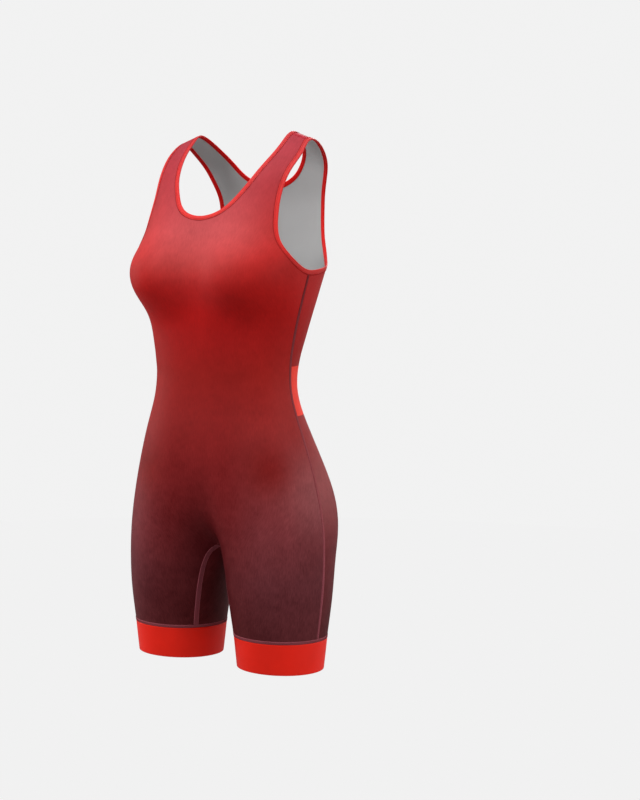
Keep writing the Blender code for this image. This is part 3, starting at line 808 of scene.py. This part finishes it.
def addTape(name, loop, node):
    loop = closedEvenly(loop, tapeCut["step"])
    section = tapeSection()
    length = lengthsAlong(joined(loop))[-1]
    along = np.linspace(0, length, len(loop), endpoint=False)[:, None]
    across, height = (np.repeat(section[None, :, k], len(loop), 0) for k in (0, 1))
    # the outer ply puckers a little between the stitches, most in its middle
    waves = round(length / tapeCut["puckerPitch"])
    drift, turns = tapeCut["puckerDrift"]
    wave = np.sin(2 * pi * waves * along / length + drift * np.sin(2 * pi * turns * along / length))
    middle = np.clip(np.sin(pi * across / tapeCut["width"]), 0, 1)
    fromMiddle = section[:, 1] + panelCut["thick"] / 2
    # the lip and the plies' inner faces stay flat
    outside = np.abs(fromMiddle) > panelCut["thick"] / 2 + tapeCut["puckersFrom"]
    height += tapeCut["pucker"] * wave * middle * np.sign(fromMiddle) * outside
    points = beside(loop, across, height, closed=True)
    cells = sweptCells(len(loop), len(section), closed=True)
    around = lengthsAlong(section)
    under = np.tile(fromMiddle < -tapeCut["insideFrom"], len(loop))   # on the wearer's side of the panel
    # the faces on the wearer's side take the tape's shaded copy
    piece = addPiece(name, points, cells, gridCloth(along, around),
                     (finishes["tape"], finishes["tapeInside"]), under[cells].all(1), replaces=[node])
    return piece, (around[-1] / 2, length)


print("scene: bindings")
tapes = {"neck": addTape("neckBinding", loops["neck"], "neck_binding")}
for side, hand in leftAndRight:
    tapes[side] = addTape("armholeBinding_" + side, loops[side], "armhole_binding_" + side)

# leg bands


# rings round the left leg at depths below the band's top, pressed onto the cloth in their tilted planes
def legRings(depths, turns):
    level = bandCut["top"] - depths[:, None]
    half, front, back, leg = np.moveaxis(sectionAt(level), -1, 0)[:4]
    x = leg + (half - leg) * np.cos(turns)
    y = (front + back) / 2 + (back - front) / 2 * np.sin(turns)
    rings = np.stack([x, y, level - bandCut["tilt"] * y], -1)
    return onCloth(rings, unit(np.array([0, bandCut["tilt"], 1.0])))


# the band's section, top to hem outside and back up inside: it bulges by half a sine wave and its hem
# is a half round fold
def bandSection():
    thick, rows = bandCut["thick"], bandCut["rows"]
    top, foot = panelCut["gap"] / 2, bandCut["height"]
    share = np.linspace(0, 1, rows)
    straight = foot - thick / 2 - top
    depth = top + straight * share
    bulge = bandCut["bulge"] * np.sin(pi * share)
    turn = np.linspace(0, pi, bandCut["hemPoints"] + 2)[1:-1]
    hemDepth = top + straight + thick / 2 * np.sin(turn)
    hemHeight = thick / 2 * np.cos(turn)
    outer = np.stack([depth, thick / 2 + bulge], -1)
    inner = np.stack([depth, -thick / 2 + bulge * 0.5], -1)[::-1]
    section = np.concatenate([outer, np.stack([hemDepth, hemHeight], -1), inner])
    section[:, 1] += bandCut["proud"] - thick / 2
    return section


def addBand(side, hand):
    section = bandSection()
    turns = roundTurns(bandCut["around"])
    rings = legRings(section[:, 0], turns)
    points = rings + outward(rings) * section[:, None, 1:]
    girth = np.linalg.norm(np.diff(rings[0], axis=0, append=rings[0][:1]), axis=-1).sum()
    points[..., 0] *= hand
    cells = gridCells(len(section), bandCut["around"], closedRows=True, closedColumns=True)
    if hand > 0:
        cells = cells[:, ::-1]
    cloth = gridCloth(turns / (2 * pi) * girth, lengthsAlong(section)[:, None])
    piece = addPiece("legBand_" + side, points, cells, cloth, [finishes["band"]],
                     replaces=["leg_band_" + side])
    return piece, (girth, bandCut["height"])


print("scene: leg bands")
bands = {side: addBand(side, hand) for side, hand in leftAndRight}

# seams and stitches

seamCut = {"stripHeight": 0.22 * mm, "stripStep": 3 * mm, "stripPoints": 9, "stripSink": 0.02 * mm,
           "stripFoot": -0.2 * mm, "zigzagPitch": 2.4 * mm, "zigzagInset": 0.9 * mm, "stitchPitch": 2.6 * mm,
           "threadRadius": 0.2 * mm, "threadSides": 6, "zigzagWiden": 1.5,
           "ringPoints": 400, "strapPoints": 60,   # on the line round a leg and on the one over a strap
           # the covering strip from its right to its left edge, then each thread row's place across it
           # the dark thread at a strip's edge is partly painted shadow of that edge
           "side": (-0.9 * mm, 4.9 * mm, (("darkThread", 0.0), ("edgeThread", 4.3 * mm))),
           "inseam": (-4.2 * mm, 4.2 * mm, (("edgeThread", -3.5 * mm), ("edgeThread", 3.5 * mm))),
           "band": (-0.8 * mm, 4.4 * mm, (("darkThread", 0.0), ("edgeThread", 3.8 * mm))),
           "shoulder": (-0.9 * mm, 4.6 * mm, (("coverThread", 0.0), ("edgeThread", 4.0 * mm)))}
intoTape = 1.8 * mm   # how far a seam runs on past the tape's sewing line


# an open line cut short where the leg band's seam crosses it
def toBandSeam(line):
    at = lengthsAlong(line)
    return readAt(line, at, np.linspace(0, at[-1] - seamCut["band"][1], len(line)))


# the same line on the other side, run the other way so that its left stays its left
def mirrored(line):
    return onCloth(line * flip)[::-1]


# a low strip over a seam: flat on top with edges that fall off by the sixth power
def addStrip(name, line, right, left, closed):
    length = lengthsAlong(joined(line) if closed else line)[-1]
    rows = round(length / seamCut["stripStep"])
    line = closedEvenly(line, seamCut["stripStep"]) if closed else evenly(line, rows)
    share = np.linspace(-1, 1, seamCut["stripPoints"])
    top = seamCut["stripHeight"] * (1 - np.abs(share) ** 6) - seamCut["stripSink"]
    across = (left + right) / 2 + (left - right) / 2 * np.concatenate([share, share[::-1]])
    height = np.concatenate([top, np.full(len(share), seamCut["stripFoot"])])
    shape = (len(line), len(across))
    points = beside(line, np.broadcast_to(across, shape), np.broadcast_to(height, shape), closed)
    along = np.linspace(0, length, len(line))[:, None]
    return addPiece(name, points, sweptCells(*shape, closed), gridCloth(along, across),
                    [finishes["strip"]])


# one thread along a line: its stitches, each given by shares of its pitch, steps across and heights
def threadSweep(line, closed, pitch, shares, across, height, widen=1.0):
    around = joined(line) if closed else line
    at = lengthsAlong(around)
    stitches = max(1, round(at[-1] / pitch))
    along = ((np.arange(stitches)[:, None] + shares) * at[-1] / stitches).ravel()
    across, height = np.tile(across, stitches), np.tile(height, stitches)
    if not closed:   # the end of the last stitch
        along = np.append(along, at[-1])
        across, height = np.append(across, across[0]), np.append(height, height[0])
    centre = readAt(around, at, along)
    left = leftOf(centre, closed)
    base = onCloth(centre + left * across[:, None])
    sides = np.arange(seamCut["threadSides"]) / seamCut["threadSides"]
    turn = np.radians(150 - 360 * sides)
    ring = seamCut["threadRadius"] * np.stack([np.cos(turn) * widen, np.sin(turn)], -1)
    points = (base[:, None] + left[:, None] * ring[None, :, :1]
              + outward(base)[:, None] * (height[:, None, None] + ring[None, :, 1:]))
    return points.reshape(-1, 3), sweptCells(len(along), len(sides), closed), gridCloth(along[:, None], sides)


# needle stitches lie on the cloth and dive into it between two stitches
def needleRow(line, closed, across, height):
    shares = np.array([0, 0.1, 0.3, 0.5, 0.7, 0.9])
    rise = np.array([-0.5, 0.02, 0.09, 0.1, 0.09, 0.02]) * mm
    rise = rise if height > -panelCut["thick"] / 2 else -rise   # proud of the outside or of the inside
    across = np.full(len(shares), across)
    return threadSweep(line, closed, seamCut["stitchPitch"], shares, across, height + rise)


# a covering thread swings from one edge of the strip to the other
def zigzagRow(line, closed, right, left, height, pitch=seamCut["zigzagPitch"]):
    shares = np.array([0, 0.08, 0.42, 0.5, 0.58, 0.92])
    swing = np.array([1, 0.84, -0.84, -1, -0.84, 0.84])
    rise = np.array([-0.05, 0.06, 0.06, -0.05, 0.06, 0.06]) * mm
    across = (left + right) / 2 + (left - right) / 2 * swing
    return threadSweep(line, closed, pitch, shares, across, height + rise, seamCut["zigzagWiden"])


# several sweeps as one piece, each with its own finish
def addThreads(name, sweeps):
    kinds = sorted({kind for kind, _ in sweeps})
    points, cells, cloth = zip(*(sweep for _, sweep in sweeps))
    starts = np.cumsum([0] + [len(p) for p in points])
    lookOf = np.repeat([kinds.index(kind) for kind, _ in sweeps], [len(c) for c in cells])
    cells = np.concatenate([c + start for c, start in zip(cells, starts)])
    return addPiece(name, np.concatenate(points), cells, np.concatenate(cloth),
                    [finishes[kind] for kind in kinds], lookOf)


def addSeam(name, line, kind, closed=False):
    right, left, rows = seamCut[kind]
    top, inset = seamCut["stripHeight"], seamCut["zigzagInset"]
    strip = addStrip(name, line, right, left, closed)
    sweeps = [(finish, needleRow(line, closed, place, top)) for finish, place in rows]
    sweeps.append(("coverThread", zigzagRow(line, closed, right + inset, left - inset, top)))
    return [strip, addThreads(name + "Threads", sweeps)]


print("scene: seams and stitches")
intoStrap = unit(armLines[0][0] - neckLines[0][0]) * intoTape
strapLine = onCloth(np.linspace(neckLines[0][0] - intoStrap, armLines[0][0] + intoStrap,
                                seamCut["strapPoints"]))
# the side seam runs on up under the tape too
upSide = sideLine[0] + unit(sideLine[0] - sideLine[5]) * intoTape
bandRing = legRings(np.zeros(1), roundTurns(seamCut["ringPoints"]))[0]
sideCut = toBandSeam(onCloth(np.concatenate([upSide[None], sideLine])))
inseamCut = toBandSeam(inseamLine)
wholeInseam = np.concatenate([inseamCut[::-1], mirrored(inseamCut)[::-1][1:]])
seamsOf = {"front": addSeam("inseam", wholeInseam, "inseam"), "back": []}
for side, hand in leftAndRight:
    place = (lambda line: line) if hand > 0 else mirrored
    seamsOf["back"] += addSeam("sideSeam_" + side, place(sideCut), "side")
    seamsOf["back"] += addSeam("shoulderSeam_" + side, place(strapLine), "shoulder")
    seamsOf["front"] += addSeam("bandSeam_" + side, place(bandRing), "band", closed=True)

# a needle row through the tape shows on both faces, and a zigzag covers the lip on the outer one
tapeStitch = {"across": 3.7 * mm, "faces": (tapeCut["proud"], -panelCut["thick"] - tapeCut["proud"]),
              "right": 0.9 * mm, "left": 2.4 * mm, "pitch": 1.7 * mm, "height": 0.28 * mm}
for key, loop in loops.items():
    rows = [needleRow(loop, True, tapeStitch["across"], height) for height in tapeStitch["faces"]]
    rows.append(zigzagRow(loop, True, tapeStitch["right"], tapeStitch["left"], tapeStitch["height"],
                          tapeStitch["pitch"]))
    seamsOf[key] = [addThreads(key + "TapeStitches", [("tapeThread", row) for row in rows])]

# studio

studio = {"floor": -1.40, "radius": 6.0, "wall": 1.5, "corner": 1.6, "cornerPoints": 24, "around": 96,
          "colour": 0.01, "glow": 0.88, "world": 0.38}


# a round floor that curves up into a low wall all round: a disc, a quarter circle, then upright
def addFloor():
    turn = np.linspace(0, pi / 2, studio["cornerPoints"])
    radius = np.append(studio["radius"] - studio["corner"] * (1 - np.sin(turn)), studio["radius"])
    height = np.append(studio["corner"] * (1 - np.cos(turn)), studio["corner"] + studio["wall"])
    around = roundTurns(studio["around"])[:, None]
    points = np.stack(np.broadcast_arrays(radius * np.cos(around), radius * np.sin(around),
                                          studio["floor"] + height), -1)
    cells = gridCells(len(around), len(radius), closedRows=True)[:, ::-1]
    disc = np.arange(len(around)) * len(radius)
    mesh = bpy.data.meshes.new("studioFloor")
    mesh.from_pydata(points.reshape(-1, 3).tolist(), [], cells.tolist() + [disc.tolist()])
    mesh.shade_smooth()
    plain = Finish("studioFloor", Roughness=0.9, Specular_IOR_Level=0.0, Emission_Strength=1.0)
    plain.shader.inputs["Base Color"].default_value = (studio["colour"],) * 3 + (1,)
    plain.shader.inputs["Emission Color"].default_value = (studio["glow"],) * 3 + (1,)
    mesh.materials.append(plain.material)
    floor = addObject("studioFloor", mesh)
    floor.visible_diffuse = floor.visible_glossy = False   # the garment is lit by the lamps alone


softLights = (   # name, place, point it faces, width and height, watts
    ("key", (-0.9, -2.4, 1.6), (0, -0.1, -0.3), (1.6, 1.2), 57),
    ("front", (0.6, -2.6, -0.2), (0, 0, -0.4), (1.2, 1.2), 4),
    ("overhead", (0.0, -0.5, 2.2), (0, 0, -0.3), (1.8, 1.4), 60),
    ("rightSide", (2.4, 0.4, 0.1), (0, 0, -0.4), (0.6, 1.8), 27),
    ("leftSide", (-2.4, -0.3, 0.1), (0, 0, -0.4), (0.6, 1.8), 20),
    ("behind", (-0.6, 2.4, 0.9), (0, 0, -0.4), (1.4, 1.4), 42),
    ("behindLeft", (0.9, 2.3, -0.1), (0, 0, -0.4), (1.2, 1.6), 9))


def addLights():
    for name, place, target, (width, height), watts in softLights:
        data = bpy.data.lights.new(name, "AREA")
        data.shape, data.size, data.size_y = "RECTANGLE", width, height
        data.energy = watts
        lamp = addObject(name, data)
        lamp.location = place
        lamp.visible_camera = False
        lamp.rotation_euler = (Vector(target) - Vector(place)).to_track_quat("-Z", "Y").to_euler()
    world = bpy.data.worlds.new("studio")
    world.use_nodes = True
    sky = world.node_tree.nodes["Background"]
    sky.inputs["Color"].default_value = (1.0, 1.0, 1.0, 1.0)
    sky.inputs["Strength"].default_value = studio["world"]
    bpy.context.scene.world = world


lookFrom = {"place": (1.2254, -1.9320, -0.17), "azimuth": 33.0, "down": 5.95, "lens": 66.9, "shiftX": 0.1125,
            "sensor": 36.0}


def addCamera():
    data = bpy.data.cameras.new("camera")
    data.lens, data.sensor_width, data.shift_x = lookFrom["lens"], lookFrom["sensor"], lookFrom["shiftX"]
    camera = addObject("camera", data)
    camera.location = lookFrom["place"]
    camera.rotation_euler = (radians(90 - lookFrom["down"]), 0, radians(lookFrom["azimuth"]))
    bpy.context.scene.camera = camera


print("scene: studio")
addFloor()
addLights()
addCamera()
bpy.context.scene.view_settings.view_transform = "Standard"
